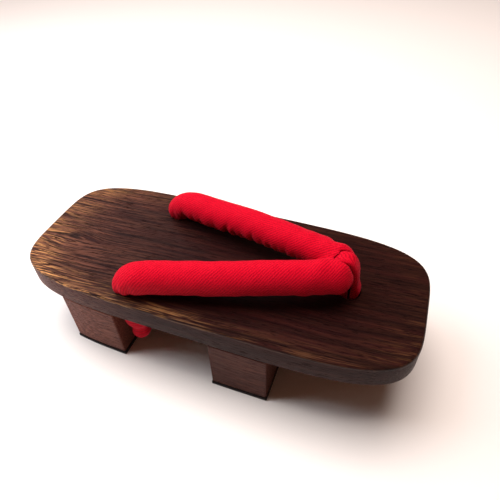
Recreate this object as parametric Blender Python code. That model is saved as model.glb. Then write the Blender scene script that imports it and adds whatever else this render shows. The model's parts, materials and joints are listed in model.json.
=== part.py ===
"""A geta: a wooden sandal on two teeth, with a padded cloth strap.

The frame has +Z up and the toe towards +X. The origin is on the floor, under the middle of the board.
Lengths are in metres.
"""
import math

import bmesh
import bpy
from mathutils import Vector

# Board: its outline is one rounded form, |x / half length|^power + |y / half width|^power = 1
BOARD_LENGTH = 0.2400
BOARD_WIDTH = 0.0994
BOARD_THICKNESS = 0.0155
OUTLINE_POWER = 4.5
BOARD_EDGE_ROUND = 0.0016

# Teeth: two blocks across the board, glued under it, their ends almost flush with its sides
REAR_TOOTH_LENGTH = 0.0370
FRONT_TOOTH_LENGTH = 0.0344
TOOTH_HEIGHT = 0.0378
TOOTH_INSET = 0.0006
TOOTH_EDGE_ROUND = 0.0008
REAR_TOOTH_FROM_HEEL = 0.0514
FRONT_TOOTH_FROM_TOE = 0.0919

# Rubber pads under the teeth, a little proud of them all round
PAD_THICKNESS = 0.0022
PAD_OVERHANG = 0.0003
PAD_EDGE_ROUND = 0.0003

# Distance kept between neighbouring pieces
SEAM_GAP = 0.0003

# Holes through the board, where the strap and the thong are tied; the rear two open just ahead of
# the rear tooth
REAR_HOLE_AHEAD = 0.0076
REAR_HOLE_FROM_SIDE = 0.0152
REAR_HOLE_RADIUS = 0.0062
FRONT_HOLE_FROM_TOE = 0.0428
FRONT_HOLE_RADIUS = 0.0062

# Strap: a padded tube on each side, from the rear holes to a nose behind the front hole. The two
# rear holes lie a little towards -Y, by the strap's lean.
STRAP_BREADTH = 0.0192
STRAP_DEPTH = 0.0180
STRAP_SECTION_POWER = 2.2
STRAP_RISE = 0.0166
STRAP_LEAN = 0.0026
STRAP_NOSE_BACK = 0.0066
STRAP_NOSE_SHARE = 0.307
STRAP_NECK_RISE = 0.0055
STRAP_NECK_CLEARANCE = 0.0006
STRAP_KNOT_WIDTH = 0.0180
STRAP_KNOT_LENGTH = 0.0290

# Thong: a flat band that loops over the strap's nose and is knotted under the front hole
THONG_WIDTH = 0.0086
THONG_THICKNESS = 0.0034
THONG_SECTION_POWER = 3.2
THONG_PINCH = 0.0035
THONG_OFFSET = 0.0015
THONG_REACH_BACK = 0.0122
THONG_LEG_GAP = 0.0012
THONG_KNOT_WIDTH = 0.0180
THONG_KNOT_DEPTH = 0.0144
THONG_KNOT_HEIGHT = 0.0110

# Heights that follow from the sizes above
TOOTH_BOTTOM = PAD_THICKNESS + SEAM_GAP
TOOTH_TOP = TOOTH_BOTTOM + TOOTH_HEIGHT
BOARD_BOTTOM = TOOTH_TOP + SEAM_GAP
BOARD_TOP = BOARD_BOTTOM + BOARD_THICKNESS
NOSE_TOP = BOARD_TOP + STRAP_RISE + STRAP_BREADTH / 2
THONG_TOP = NOSE_TOP - THONG_PINCH + THONG_THICKNESS
THONG_KNOT_Z = BOARD_BOTTOM - SEAM_GAP - THONG_KNOT_HEIGHT / 2

# Places that follow from the sizes above
REAR_TOOTH_X = REAR_TOOTH_FROM_HEEL - BOARD_LENGTH / 2
REAR_TOOTH_FRONT = REAR_TOOTH_X + REAR_TOOTH_LENGTH / 2
FRONT_TOOTH_X = BOARD_LENGTH / 2 - FRONT_TOOTH_FROM_TOE
REAR_HOLE_X = REAR_TOOTH_FRONT + REAR_HOLE_AHEAD
REAR_HOLE_SPREAD = BOARD_WIDTH / 2 - REAR_HOLE_FROM_SIDE
FRONT_HOLE_X = BOARD_LENGTH / 2 - FRONT_HOLE_FROM_TOE
STRAP_NOSE_X = FRONT_HOLE_X - STRAP_NOSE_BACK
STRAP_NOSE_Y = STRAP_DEPTH * STRAP_NOSE_SHARE
KNOT_SEAT_X = REAR_TOOTH_FRONT + SEAM_GAP + STRAP_KNOT_WIDTH / 2

# Facets: how many points, sides and steps the round forms have, and the angles that count as sharp
OUTLINE_POINTS = 72
TOOTH_SIDE_POINTS = 7
STRAP_SIDES = 20
THONG_SIDES = 16
KNOT_SIDES = 14
KNOT_LEVELS = 8
HOLE_SIDES = 28
STEPS_PER_ROW = 3
CAP_STEPS = 4
CAP_TIP_STEP = 0.35
SHADE_SHARP = math.radians(35)
ROUND_SHARP = math.radians(50)

# The strap's centre line and section on one side, a row for each place along it.
# along: share of the way from the rear hole to the nose;
# spread: share of the way from the nose's own offset out to the rear hole's;
# rise: share of STRAP_RISE above the board; broad, deep: shares of the section's two widths;
# turn: degrees by which the broad side leans from level.
STRAP_ROWS = (
    # along, spread, rise, broad, deep, turn
    (-0.008, 1.000, 0.00, 0.74, 0.74, 20),
    (-0.008, 1.006, 0.14, 0.82, 0.80, 25),
    (0.012, 1.010, 0.33, 0.91, 0.90, 30),
    (0.052, 0.988, 0.50, 0.97, 0.97, 34),
    (0.115, 0.935, 0.61, 0.99, 1.00, 38),
    (0.277, 0.780, 0.69, 0.99, 1.01, 44),
    (0.472, 0.617, 0.80, 1.00, 1.00, 50),
    (0.670, 0.395, 0.89, 1.00, 0.98, 58),
    (0.850, 0.205, 0.96, 1.01, 0.94, 68),
    (1.000, 0.000, 0.99, 1.03, 0.88, 78),
)

# The knot and short tail in the strap's end, under the board.
# drop: share of STRAP_KNOT_LENGTH below the board; width: share of STRAP_KNOT_WIDTH;
# shift: share of the way from the hole's axis to the knot's seat against the rear tooth.
KNOT_ROWS = (
    # drop, width, shift
    (0.02, 0.62, 0.10),
    (0.10, 0.88, 0.60),
    (0.24, 1.00, 1.00),
    (0.40, 0.92, 1.00),
    (0.54, 0.66, 0.90),
    (0.68, 0.60, 0.60),
    (0.84, 0.68, 0.40),
    (0.95, 0.52, 0.30),
    (1.00, 0.22, 0.25),
)

# The thong's centre line seen from the side, from the front leg over the nose to the rear leg.
# back: share of THONG_REACH_BACK behind the front leg;
# height: share of the centre line's own height over the board at its highest place.
THONG_ROWS = (
    # back, height
    (0.00, 0.00),
    (0.00, 0.30),
    (0.02, 0.56),
    (0.10, 0.79),
    (0.32, 0.97),
    (0.60, 1.00),
    (0.86, 0.95),
    (1.03, 0.80),
    (1.00, 0.58),
    (0.76, 0.32),
    (0.47, 0.10),
)


def clear_scene():
    """Removes whatever the file opened with."""
    for item in list(bpy.data.objects):
        bpy.data.objects.remove(item, do_unlink=True)


def material(name, colour, roughness):
    """A plain material of one colour, given as red, green and blue from 0 to 1."""
    found = bpy.data.materials.get(name)
    if found:
        return found
    made = bpy.data.materials.new(name)
    made.use_nodes = True
    shader = made.node_tree.nodes["Principled BSDF"]
    shader.inputs["Base Color"].default_value = (*colour, 1.0)
    shader.inputs["Roughness"].default_value = roughness
    shader.inputs["Metallic"].default_value = 0.0
    return made


def stained_wood():
    return material("stained_wood", (0.060, 0.026, 0.016), 0.45)


def black_rubber():
    return material("black_rubber", (0.012, 0.011, 0.011), 0.80)


def red_cloth():
    return material("red_cloth", (0.580, 0.006, 0.016), 0.85)


def add_object(name, bm, look, guide=False):
    """Turns a bmesh into a named object; a guide shapes other objects and isn't a piece itself."""
    bmesh.ops.recalc_face_normals(bm, faces=bm.faces)
    mesh = bpy.data.meshes.new(name)
    bm.to_mesh(mesh)
    bm.free()
    made = bpy.data.objects.new(name, mesh)
    bpy.context.scene.collection.objects.link(made)
    mesh.materials.append(look)
    mesh.shade_smooth()
    mesh.set_sharp_from_angle(angle=SHADE_SHARP)
    if guide:
        made.hide_render = True
        made.display_type = 'WIRE'
    return made


def boolean(target, other, operation):
    """Adds a Boolean modifier that joins or cuts target with other."""
    step = target.modifiers.new(f"{operation.lower()}_{other.name}", 'BOOLEAN')
    step.operation = operation
    step.object = other
    step.solver = 'EXACT'


def round_edges(target, radius, segments):
    """Adds a Bevel modifier that rounds the sharp edges."""
    step = target.modifiers.new("round_edges", 'BEVEL')
    step.width = radius
    step.segments = segments
    step.limit_method = 'ANGLE'
    step.angle_limit = ROUND_SHARP


def signed_power(value, power):
    return math.copysign(abs(value) ** power, value)


def oval(angle, half_a, half_b, power):
    """A point of a rounded rectangle, by its angle, half widths and power."""
    return (half_a * signed_power(math.cos(angle), 2 / power),
            half_b * signed_power(math.sin(angle), 2 / power))


def board_half_width(x, inset):
    """Half the board's width at x, less an inset from its side."""
    share = min(abs(x) / (BOARD_LENGTH / 2), 1.0)
    return BOARD_WIDTH / 2 * (1 - share ** OUTLINE_POWER) ** (1 / OUTLINE_POWER) - inset


def rear_hole_y(side):
    """Where the rear hole of one side lies across the board."""
    return side * REAR_HOLE_SPREAD - STRAP_LEAN


def extruded(outline, bottom, top):
    """A closed prism on an outline of (x, y) points, between two heights."""
    bm = bmesh.new()
    face = bm.faces.new([bm.verts.new((x, y, bottom)) for x, y in outline])
    grown = bmesh.ops.extrude_face_region(bm, geom=[face])
    raised = [item for item in grown["geom"] if isinstance(item, bmesh.types.BMVert)]
    bmesh.ops.translate(bm, vec=(0, 0, top - bottom), verts=raised)
    return bm


def cylinder(name, x, y, radius, bottom, top):
    """An upright round guide, used to drill the board."""
    bm = bmesh.new()
    bmesh.ops.create_cone(bm, cap_ends=True, segments=HOLE_SIDES, radius1=radius, radius2=radius,
                          depth=top - bottom)
    bmesh.ops.translate(bm, vec=(x, y, (top + bottom) / 2), verts=bm.verts)
    return add_object(name, bm, stained_wood(), guide=True)


def loft(rings):
    """A closed skin over rings of equal length, with a flat face at each end."""
    bm = bmesh.new()
    loops = [[bm.verts.new(point) for point in ring] for ring in rings]
    count = len(loops[0])
    for lower, upper in zip(loops, loops[1:]):
        for i in range(count):
            j = (i + 1) % count
            bm.faces.new((lower[i], lower[j], upper[j], upper[i]))
    bm.faces.new(reversed(loops[0]))
    bm.faces.new(loops[-1])
    return bm


def smooth_rows(rows, steps):
    """Rows of numbers with further rows between them, on a smooth curve through them all."""
    dense = []
    last = len(rows) - 1
    for k in range(last):
        before, start, end, after = rows[max(k - 1, 0)], rows[k], rows[k + 1], rows[min(k + 2, last)]
        for s in range(steps):
            t = s / steps
            dense.append(tuple(
                0.5 * (2 * q + (r - p) * t + (2 * p - 5 * q + 4 * r - u) * t * t
                       + (3 * q - p - 3 * r + u) * t ** 3)
                for p, q, r, u in zip(before, start, end, after)))
    dense.append(tuple(rows[-1]))
    return dense


def section_ring(centre, forward, inward, half_a, half_b, turn, power, sides, phase):
    """One ring of points round a tube's centre, in the plane across its direction."""
    level = (inward - forward * inward.dot(forward)).normalized()
    rise = forward.cross(level).normalized() * math.copysign(1, inward.y)
    a_axis = level * math.cos(turn) + rise * math.sin(turn)
    b_axis = rise * math.cos(turn) - level * math.sin(turn)
    ring = []
    for i in range(sides):
        a, b = oval(2 * math.pi * (i + phase) / sides, half_a, half_b, power)
        ring.append(centre + a_axis * a + b_axis * b)
    return ring


def directions(centres):
    """The direction of travel at each centre."""
    last = len(centres) - 1
    return [(centres[min(i + 1, last)] - centres[max(i - 1, 0)]).normalized()
            for i in range(len(centres))]


def strap_tube(name, side, guide):
    """The padded tube of one side (side is -1 or +1), from the rear hole to its round nose."""
    run = STRAP_NOSE_X - REAR_HOLE_X
    widening = REAR_HOLE_SPREAD - STRAP_NOSE_Y
    centres, sizes = [], []
    for along, spread, rise, broad, deep, turn in smooth_rows(STRAP_ROWS, STEPS_PER_ROW):
        centres.append(Vector((REAR_HOLE_X + run * along,
                               side * (STRAP_NOSE_Y + widening * spread) - STRAP_LEAN * (1 - along),
                               BOARD_TOP + STRAP_RISE * rise)))
        sizes.append((STRAP_BREADTH / 2 * broad, STRAP_DEPTH / 2 * deep, math.radians(turn)))
    headings = directions(centres)
    tip, heading = centres[-1], headings[-1]
    half_a, half_b, turn = sizes[-1]
    for k in range(1, CAP_STEPS + 1):
        bend = math.pi / 2 * k / (CAP_STEPS + CAP_TIP_STEP)
        centres.append(tip + heading * half_b * math.sin(bend))
        headings.append(heading)
        sizes.append((half_a * math.cos(bend), half_b * math.cos(bend), turn))
    inward = Vector((0, -side, 0))
    phase = 0.5 if side > 0 else 0.0
    rings = [section_ring(centre, forward, inward, *size, STRAP_SECTION_POWER, STRAP_SIDES, phase)
             for centre, forward, size in zip(centres, headings, sizes)]
    return add_object(name, loft(rings), red_cloth(), guide)


def strap_end(name, side):
    """The strap's neck in its hole, and the knot and short tail that hang under the board."""
    neck = REAR_HOLE_RADIUS - STRAP_NECK_CLEARANCE
    knot_top = BOARD_BOTTOM - SEAM_GAP
    stations = [(height, neck, 0.0)
                for height in (BOARD_TOP + STRAP_NECK_RISE, BOARD_TOP, BOARD_BOTTOM)]
    stations += [(knot_top - STRAP_KNOT_LENGTH * drop, STRAP_KNOT_WIDTH / 2 * width, shift)
                 for drop, width, shift in KNOT_ROWS]
    turns = [2 * math.pi * i / KNOT_SIDES for i in range(KNOT_SIDES)]
    rings = []
    for height, radius, shift in stations:
        x = REAR_HOLE_X + (KNOT_SEAT_X - REAR_HOLE_X) * shift
        y = rear_hole_y(side)
        rings.append([Vector((x + radius * math.cos(turn), y + radius * math.sin(turn), height))
                      for turn in turns])
    return add_object(name, loft(rings), red_cloth(), guide=True)


def thong_rings(clearance):
    """Rings along the thong's loop, grown all round by a clearance."""
    leg = (THONG_THICKNESS + THONG_LEG_GAP) / 2
    front_x = FRONT_HOLE_X + leg
    rear_x = FRONT_HOLE_X - leg
    height = THONG_TOP - THONG_THICKNESS / 2 - BOARD_TOP
    in_hole = (THONG_KNOT_Z + BOARD_TOP) / 2
    path = [(front_x, THONG_KNOT_Z), (front_x, in_hole)]
    path += [(front_x - THONG_REACH_BACK * back, BOARD_TOP + height * share)
             for back, share in THONG_ROWS]
    path += [(rear_x, in_hole), (rear_x, THONG_KNOT_Z)]
    path = smooth_rows(path, STEPS_PER_ROW)
    centres = [Vector((x, THONG_OFFSET, z)) for x, z in path]
    half_width, half_thickness = THONG_WIDTH / 2 + clearance, THONG_THICKNESS / 2 + clearance
    return [section_ring(centre, forward, Vector((0, 1, 0)), half_width, half_thickness, 0.0,
                         THONG_SECTION_POWER, THONG_SIDES, 0.5)
            for centre, forward in zip(centres, directions(centres))]


def build_board():
    turns = [2 * math.pi * i / OUTLINE_POINTS for i in range(OUTLINE_POINTS)]
    outline = [oval(turn, BOARD_LENGTH / 2, BOARD_WIDTH / 2, OUTLINE_POWER) for turn in turns]
    board = add_object("board", extruded(outline, BOARD_BOTTOM, BOARD_TOP), stained_wood())
    round_edges(board, BOARD_EDGE_ROUND, 3)
    bottom, top = BOARD_BOTTOM - BOARD_THICKNESS / 2, BOARD_TOP + BOARD_THICKNESS / 2
    holes = [("rear_hole_far", REAR_HOLE_X, rear_hole_y(1), REAR_HOLE_RADIUS),
             ("rear_hole_near", REAR_HOLE_X, rear_hole_y(-1), REAR_HOLE_RADIUS),
             ("front_hole", FRONT_HOLE_X, THONG_OFFSET, FRONT_HOLE_RADIUS)]
    for name, x, y, radius in holes:
        boolean(board, cylinder(name, x, y, radius, bottom, top), 'DIFFERENCE')
    return board


def crosswise_outline(centre_x, length, inset):
    """The plan of a block across the board: straight front and back, sides along the board's own."""
    step = length / (TOOTH_SIDE_POINTS - 1)
    xs = [centre_x - length / 2 + step * i for i in range(TOOTH_SIDE_POINTS)]
    near = [(x, -board_half_width(x, inset)) for x in xs]
    far = [(x, board_half_width(x, inset)) for x in reversed(xs)]
    return near + far


def build_tooth(name, centre_x, length):
    outline = crosswise_outline(centre_x, length, TOOTH_INSET)
    tooth = add_object(name, extruded(outline, TOOTH_BOTTOM, TOOTH_TOP), stained_wood())
    round_edges(tooth, TOOTH_EDGE_ROUND, 2)
    return tooth


def build_pad(name, centre_x, tooth_length):
    outline = crosswise_outline(centre_x, tooth_length + 2 * PAD_OVERHANG, TOOTH_INSET - PAD_OVERHANG)
    pad = add_object(name, extruded(outline, 0.0, PAD_THICKNESS), black_rubber())
    round_edges(pad, PAD_EDGE_ROUND, 1)
    return pad


def build_straps():
    """Both tubes joined at the nose, flat where they lie on the board, with their tied ends."""
    straps = strap_tube("straps", -1, guide=False)
    boolean(straps, strap_tube("strap_far_half", 1, guide=True), 'UNION')
    half = BOARD_LENGTH / 2
    floor_of_strap = extruded([(-half, -half), (half, -half), (half, half), (-half, half)],
                              BOARD_BOTTOM, BOARD_TOP + SEAM_GAP)
    boolean(straps, add_object("board_contact", floor_of_strap, red_cloth(), guide=True), 'DIFFERENCE')
    boolean(straps, strap_end("strap_end_near", -1), 'UNION')
    boolean(straps, strap_end("strap_end_far", 1), 'UNION')
    groove = add_object("thong_groove", loft(thong_rings(SEAM_GAP)), red_cloth(), guide=True)
    boolean(straps, groove, 'DIFFERENCE')
    return straps


def build_thong():
    """The band's loop with the knot that holds it under the board."""
    thong = add_object("front_thong", loft(thong_rings(0.0)), red_cloth())
    bm = bmesh.new()
    bmesh.ops.create_uvsphere(bm, u_segments=KNOT_SIDES, v_segments=KNOT_LEVELS, radius=0.5)
    bmesh.ops.scale(bm, vec=(THONG_KNOT_WIDTH, THONG_KNOT_DEPTH, THONG_KNOT_HEIGHT), verts=bm.verts)
    bmesh.ops.translate(bm, vec=(FRONT_HOLE_X, THONG_OFFSET, THONG_KNOT_Z), verts=bm.verts)
    boolean(thong, add_object("thong_knot", bm, red_cloth(), guide=True), 'UNION')
    return thong


def main():
    clear_scene()
    build_board()
    build_tooth("rear_tooth", REAR_TOOTH_X, REAR_TOOTH_LENGTH)
    build_tooth("front_tooth", FRONT_TOOTH_X, FRONT_TOOTH_LENGTH)
    build_pad("rear_pad", REAR_TOOTH_X, REAR_TOOTH_LENGTH)
    build_pad("front_pad", FRONT_TOOTH_X, FRONT_TOOTH_LENGTH)
    build_straps()
    build_thong()


main()
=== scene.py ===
"""Looks of a geta: a stained wooden board on two teeth, rubber pads, and a padded strap of red twill.

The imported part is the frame. The board, the strap and the front thong are built again here with finer
meshes in the same places, and the teeth and pads keep their own meshes and get their finish. The frame
has +Z up and the toe towards +X. Lengths are in metres, except where a name ends in _mm.
"""

import json
import logging
import math
from dataclasses import dataclass
from enum import Enum

import bmesh
import bpy
import numpy as np
from mathutils import Matrix, Vector, geometry
from mathutils.bvhtree import BVHTree

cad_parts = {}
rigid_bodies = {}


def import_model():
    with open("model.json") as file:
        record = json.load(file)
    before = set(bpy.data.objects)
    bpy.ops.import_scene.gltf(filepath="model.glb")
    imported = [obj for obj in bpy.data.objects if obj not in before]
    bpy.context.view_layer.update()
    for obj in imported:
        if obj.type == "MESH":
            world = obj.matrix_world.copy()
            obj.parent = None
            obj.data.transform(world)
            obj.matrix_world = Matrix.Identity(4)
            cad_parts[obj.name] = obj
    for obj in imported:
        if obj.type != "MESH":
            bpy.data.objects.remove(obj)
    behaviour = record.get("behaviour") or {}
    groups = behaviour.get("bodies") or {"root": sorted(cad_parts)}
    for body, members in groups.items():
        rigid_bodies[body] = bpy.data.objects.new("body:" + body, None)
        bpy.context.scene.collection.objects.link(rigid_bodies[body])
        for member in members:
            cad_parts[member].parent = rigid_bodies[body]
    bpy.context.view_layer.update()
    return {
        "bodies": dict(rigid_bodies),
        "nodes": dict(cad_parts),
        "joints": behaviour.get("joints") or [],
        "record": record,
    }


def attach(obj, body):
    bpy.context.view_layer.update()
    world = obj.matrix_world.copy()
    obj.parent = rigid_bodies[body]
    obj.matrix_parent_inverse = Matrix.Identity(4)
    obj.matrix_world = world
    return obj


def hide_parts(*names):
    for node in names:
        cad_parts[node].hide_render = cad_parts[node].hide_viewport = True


Tree, Socket = bpy.types.NodeTree, bpy.types.NodeSocket
Item, Material = bpy.types.Object, bpy.types.Material
Mesh, Array, Generator = bmesh.types.BMesh, np.ndarray, np.random.Generator

LOG = logging.getLogger("geta")
MM = 0.001
BODY = "root"
# where a piece without a knot has it, in mm
OFF_THE_PIECE = (900.0, 900.0)
# node, shift of its wood's pattern in mm, and how much lighter it is painted: partly a paler stain and
# partly painted light from the heel side, which the rear tooth gets more of
TEETH = (("rear_tooth", (31.0, 17.0, 5.0), 0.28), ("front_tooth", (-57.0, -23.0, 9.0), 0.11))


class Slot(Enum):
    """The record's material slots."""

    WOOD = "stained_wood"
    RUBBER = "black_rubber"
    CLOTH = "red_cloth"


class Side(Enum):
    """The two sides of the sandal; the value is the sign of Y."""

    NEAR = -1
    FAR = 1


# ---------------------------------------------------------------- nodes and colours


def linear(colour: str) -> tuple[float, float, float, float]:
    """Turns an sRGB hex colour into the linear colour that a shader socket takes.

    Args:
        colour: six hex digits after a hash sign.

    Returns:
        Red, green, blue and an alpha of 1.
    """
    parts = [int(colour[i:i + 2], 16) / 255 for i in (1, 3, 5)]
    return (*[p / 12.92 if p <= 0.04045 else ((p + 0.055) / 1.055) ** 2.4 for p in parts], 1.0)


def fill_inputs(tree: Tree, node: bpy.types.Node, inputs: dict) -> None:
    """Sets or links a node's inputs.

    Args:
        tree: the node tree.
        node: the node.
        inputs: a value, or another node's output, for each named or numbered input.
    """
    for key, value in inputs.items():
        if isinstance(value, Socket):
            tree.links.new(value, node.inputs[key])
        else:
            node.inputs[key].default_value = value


def add_node(tree: Tree, kind: str, inputs: dict | None = None,
             **settings) -> bpy.types.Node:
    """Adds a node, sets it and links it.

    Args:
        tree: the node tree that gets the node.
        kind: the node's type name.
        inputs: a value, or another node's output, for each named or numbered input.
        **settings: the node's own properties.

    Returns:
        The new node.
    """
    node = tree.nodes.new(kind)
    for name, value in settings.items():
        setattr(node, name, value)
    fill_inputs(tree, node, inputs or {})
    return node


def new_material(name: str) -> tuple[Material, Tree, bpy.types.Node]:
    """Makes a node material with only a Principled shader and the output.

    Args:
        name: the material's name.

    Returns:
        The material, its node tree and the shader.
    """
    made = bpy.data.materials.new(name)
    made.use_nodes = True
    return made, made.node_tree, made.node_tree.nodes["Principled BSDF"]


def ramp(tree: Tree, value: Socket, low: float, high: float,
         to_low: float = 0.0, to_high: float = 1.0) -> Socket:
    """Maps a value smoothly from one range to another, held at both ends.

    Args:
        tree: the node tree.
        value: what is mapped.
        low: where the change starts.
        high: where it ends.
        to_low: the result at and below the start.
        to_high: the result at and beyond the end.

    Returns:
        The mapped value's socket.
    """
    node = add_node(tree, "ShaderNodeMapRange", {0: value, 1: low, 2: high, 3: to_low, 4: to_high},
                    interpolation_type='SMOOTHSTEP')
    return node.outputs[0]


def arithmetic(tree: Tree, operation: str, *values) -> Socket:
    """One step of arithmetic on numbers or sockets.

    Args:
        tree: the node tree.
        operation: the Math node's operation.
        *values: one to three operands.

    Returns:
        The result's socket.
    """
    return add_node(tree, "ShaderNodeMath", dict(enumerate(values)), operation=operation).outputs[0]


def vector_step(tree: Tree, operation: str, *values) -> Socket:
    """One step of arithmetic on vectors or sockets.

    Args:
        tree: the node tree.
        operation: the Vector Math node's operation. SCALE takes a number in second place, and LENGTH
            gives one.
        *values: one or two operands.

    Returns:
        The result's socket.
    """
    inputs = {0: values[0], "Scale": values[1]} if operation == 'SCALE' else dict(enumerate(values))
    node = add_node(tree, "ShaderNodeVectorMath", inputs, operation=operation)
    return node.outputs["Value" if operation == 'LENGTH' else "Vector"]


def noise(tree: Tree, place: Socket, size: float, detail: float,
          roughness: float = 0.5, flat: bool = False) -> Socket:
    """Adds a soft random pattern.

    Args:
        tree: the node tree.
        place: where the pattern is read.
        size: about how large its lumps are, in the unit of place.
        detail: how many finer patterns are added.
        roughness: how strong those are.
        flat: whether it reads two directions, as on a UV map, or three.

    Returns:
        The pattern's socket, about 0 to 1.
    """
    return add_node(tree, "ShaderNodeTexNoise", {
        "Vector": place, "Scale": 1 / size, "Detail": detail, "Roughness": roughness},
        noise_dimensions='2D' if flat else '3D').outputs["Fac"]


def relief_of(tree: Tree, height, strength: float, depth_mm: float) -> Socket:
    """Adds a bump of a height and a depth in millimetres, and returns its normal."""
    return add_node(tree, "ShaderNodeBump", {
        "Height": height, "Strength": strength, "Distance": depth_mm * MM}).outputs[0]


def blend_colour(tree: Tree, share, first, second) -> Socket:
    """Mixes two colours.

    Args:
        tree: the node tree.
        share: how much of the second colour there is, a number or a socket.
        first: a colour or a socket.
        second: a colour or a socket.

    Returns:
        The mixed colour's socket.
    """
    node = add_node(tree, "ShaderNodeMix", {"Factor": share, 6: first, 7: second}, data_type='RGBA')
    return node.outputs[2]


# ---------------------------------------------------------------- finishes


@dataclass(frozen=True)
class StainedWood:
    """Light open-grained wood, scorched and stained dark brown, then rubbed with a thin wax.

    The fibres run along X and bend round one small knot near the heel. The stain is worn thin towards
    the edges, where the pale wood shows
    through as golden streaks, and the open pores stay almost black. Towards the heel the pale fibres,
    the gold and the side faces' grey grow. This is partly the wood's own lighter heel and partly painted
    light from the heel side, where the lamps fall.

    Attributes:
        name: the material's name.
        shift_mm: moves the pattern, so that no two pieces match.
        pore, deep, body, light, gold, ash: colours of the open pores, of the stained wood from dark to
        middling, of the pale fibres, of the worn edge, and of the duller side faces. The side faces' grey
        is partly painted reflection of the pale floor, and its growth towards the heel is painted light.
        fibre_mm, fleck_mm, pore_mm, broad_mm, cloud_mm: width of the streaks of each pattern. Real
            fibres and pores are finer, and are drawn this wide so that they show.
        sway_run_mm, sway_mm: over what length the grain sways, and how far.
        tilt_deg: how far the grain runs off the piece's length, seen from above.
        grey: how much greyer than the board's top the piece is, 0 to 1.
        pale: how much lighter the piece is painted, 0 to 1: partly a paler stain and partly painted light
            from the heel side.
        knot_mm, knot_size_mm, knot_reach_mm: where the small dark knot lies in X and Y, half its size,
            and how far round it the grain bends.
    """

    name: str
    shift_mm: tuple[float, float, float] = (0.0, 0.0, 0.0)
    tilt_deg: float = -2.5
    grey: float = 0.0
    pale: float = 0.0
    pore: str = "#0A0304"
    deep: str = "#150708"
    body: str = "#230C0C"
    light: str = "#804C37"
    gold: str = "#C08850"
    side_grey_and_painted_light: str = "#8C5048"
    fibre_mm: float = 0.60
    fleck_mm: float = 0.60
    pore_mm: float = 0.42
    broad_mm: float = 4.0
    cloud_mm: float = 22.0
    sway_run_mm: float = 60.0
    sway_mm: tuple[float, float, float] = (0.0, 4.0, 3.0)
    knot_mm: tuple[float, float] = (-98.0, -10.0)
    knot_size_mm: tuple[float, float, float] = (5.5, 3.6, 4.0)
    knot_reach_mm: tuple[float, float, float] = (17.0, 9.0, 9.0)
    top_face: tuple[float, float] = (0.0538, 0.0556)

    def build(self) -> Material:
        """Makes the material.

        Returns:
            The material.
        """
        made, tree, shader = new_material(self.name)
        place = add_node(tree, "ShaderNodeTexCoord").outputs["Object"]
        grain = add_node(tree, "ShaderNodeMapping", {
            "Vector": place, "Location": self.shift_mm,
            "Rotation": (0, 0, math.radians(self.tilt_deg)),
            "Scale": (1 / MM, 1 / MM, 1 / MM)}).outputs[0]
        flow = self._warped(tree, grain)
        parts = add_node(tree, "ShaderNodeSeparateXYZ", {0: place})
        # heel: 1 at the heel and 0 from the middle on. It makes the colour lighter towards the heel,
        # partly the wood's own tone and partly painted light from the heel side.
        heel = ramp(tree, parts.outputs["X"], -0.01, -0.125)
        top = ramp(tree, parts.outputs["Z"], *self.top_face)
        fibre = noise(tree, self._drawn(tree, flow, 80), self.fibre_mm, 2.0, 0.45)
        fleck = noise(tree, self._drawn(tree, flow, 30), self.fleck_mm, 2.0)
        broad = noise(tree, self._drawn(tree, flow, 22), self.broad_mm, 3.0)
        cloud = noise(tree, self._drawn(tree, flow, 2.5), self.cloud_mm, 2.0)
        pores = ramp(tree, noise(tree, self._drawn(tree, flow, 14), self.pore_mm, 1.0, 0.4), 0.57, 0.68)

        depth = arithmetic(tree, 'MULTIPLY', ramp(tree, cloud, 0.35, 0.65, 0.60, 1.0),
                           arithmetic(tree, 'MULTIPLY_ADD', heel, 0.50, 0.05 + 2.0 * self.pale))
        # side: share of the side faces' grey, larger towards the heel. The growth is painted light from
        # the heel side.
        side = arithmetic(tree, 'MULTIPLY', arithmetic(tree, 'SUBTRACT', 1.0, top),
                          arithmetic(tree, 'MULTIPLY_ADD', heel, 0.95, 0.15))
        layers = (
            (self.pale * 0.6, self.light),
            (arithmetic(tree, 'MULTIPLY', ramp(tree, fibre, 0.43, 0.60), depth), self.light),
            (arithmetic(tree, 'MULTIPLY', ramp(tree, fleck, 0.48, 0.61),
                        self._wear_and_painted_light(tree, parts, broad, top)), self.gold),
            (arithmetic(tree, 'MULTIPLY', pores, 0.75), self.pore),
            (arithmetic(tree, 'MULTIPLY', self._knot(tree, place), 0.8), self.pore),
            (arithmetic(tree, 'MULTIPLY_ADD', side, 0.26, self.grey), self.side_grey_and_painted_light),
        )
        tone = blend_colour(tree, ramp(tree, broad, 0.36, 0.66), linear(self.deep), linear(self.body))
        for share, colour in layers:
            tone = blend_colour(tree, share, tone, linear(colour))

        relief = arithmetic(tree, 'SUBTRACT', arithmetic(tree, 'MULTIPLY', fibre, 0.8), pores)
        rough = arithmetic(tree, 'ADD', ramp(tree, fibre, 0.3, 0.7, 0.50, 0.42),
                           arithmetic(tree, 'MULTIPLY', pores, 0.3))
        fill_inputs(tree, shader, {
            "Base Color": tone, "Normal": relief_of(tree, relief, 0.5, 0.10), "Roughness": rough,
            "Specular IOR Level": ramp(tree, top, 0.0, 1.0, 0.12, 0.5), "IOR": 1.42})
        return made

    @staticmethod
    def _drawn(tree: Tree, place: Socket,
               times: float) -> Socket:
        """Draws a pattern out along the grain by some times."""
        return vector_step(tree, 'MULTIPLY', place, (1 / times, 1, 1))

    def _knot(self, tree: Tree, place: Socket) -> Socket:
        """A small dark pin knot near the heel, 0 to 1."""
        middle = (self.knot_mm[0] * MM, self.knot_mm[1] * MM, Heights().board_top)
        spot = vector_step(tree, 'SUBTRACT', place, middle)
        spot = vector_step(tree, 'MULTIPLY', spot, tuple(1 / (size * MM) for size in self.knot_size_mm))
        return ramp(tree, vector_step(tree, 'LENGTH', spot), 1.1, 0.3)

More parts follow.
